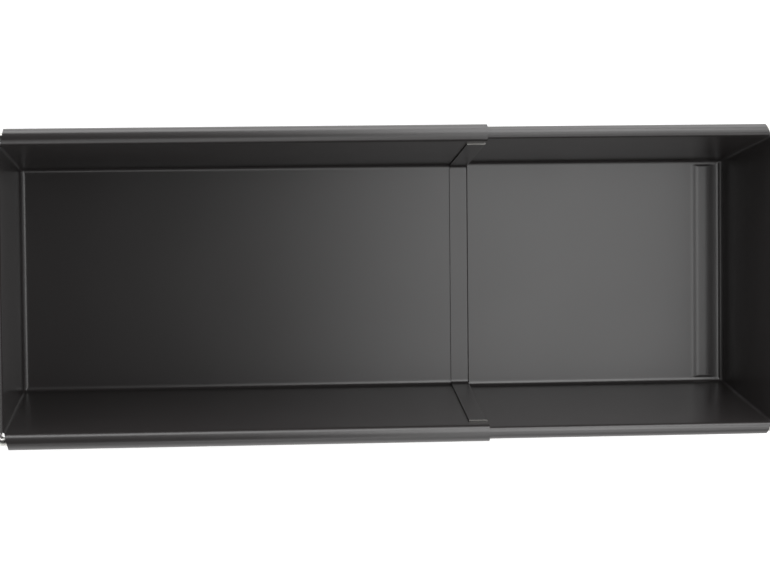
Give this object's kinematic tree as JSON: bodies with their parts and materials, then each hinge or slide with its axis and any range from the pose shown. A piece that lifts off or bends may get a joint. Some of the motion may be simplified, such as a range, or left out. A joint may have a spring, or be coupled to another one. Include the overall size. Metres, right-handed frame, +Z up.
{
  "type": "extendable loaf tin",
  "caption": "Extendable loaf tin: two open-ended sheet steel trays with rolled, wired rims that slide into each other to change the baking length.",
  "frame": {"origin": "centre of the tin at the length it is pictured at, on the surface it stands on", "axes": "+X along the tin towards the outer tray's end wall, +Y across it, +Z up"},
  "size_m": [0.305, 0.1218, 0.0689],
  "materials": {
    "coated_sheet": "satin non-stick coating on carbon steel sheet",
    "rim_wire": "plain drawn steel wire"
  },
  "bodies": {
    "outer": {"outer_tray": "coated_sheet", "outer_rim_wire": "rim_wire"},
    "inner": {"inner_tray": "coated_sheet", "inner_rim_wire": "rim_wire"}
  },
  "joints": [
    {"name": "extension_slide", "type": "slide", "parent": "outer", "child": "inner", "axis": [-1, 0, 0], "range_m": [-0.089, 0.045]}
  ]
}
